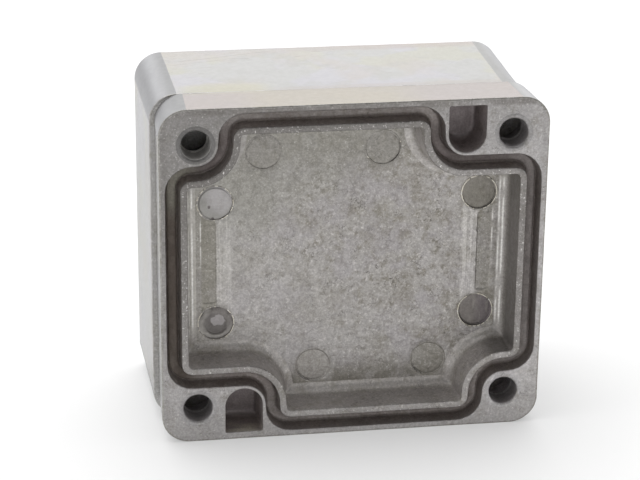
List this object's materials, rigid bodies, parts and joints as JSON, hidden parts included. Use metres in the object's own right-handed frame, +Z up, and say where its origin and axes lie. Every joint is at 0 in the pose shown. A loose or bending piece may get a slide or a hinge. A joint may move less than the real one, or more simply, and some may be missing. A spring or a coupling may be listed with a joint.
{
  "type": "die cast aluminium box",
  "caption": "Small two-piece die cast aluminium enclosure: shallow lid with a seal groove and screw bores, standing inside out against its deeper open base.",
  "frame": {"origin": "centre of the footprint, on the surface that both castings stand on", "axes": "+X to the right and +Z up as seen from the open side of the lid, +Y through the lid to the open rim of the base"},
  "size_m": [0.065, 0.0358, 0.058],
  "materials": {
    "lid_casting": "as cast, warm grey",
    "base_casting": "as cast, pale sides with stains"
  },
  "bodies": {
    "root": {"lid": "lid_casting", "base": "base_casting"}
  },
  "joints": []
}
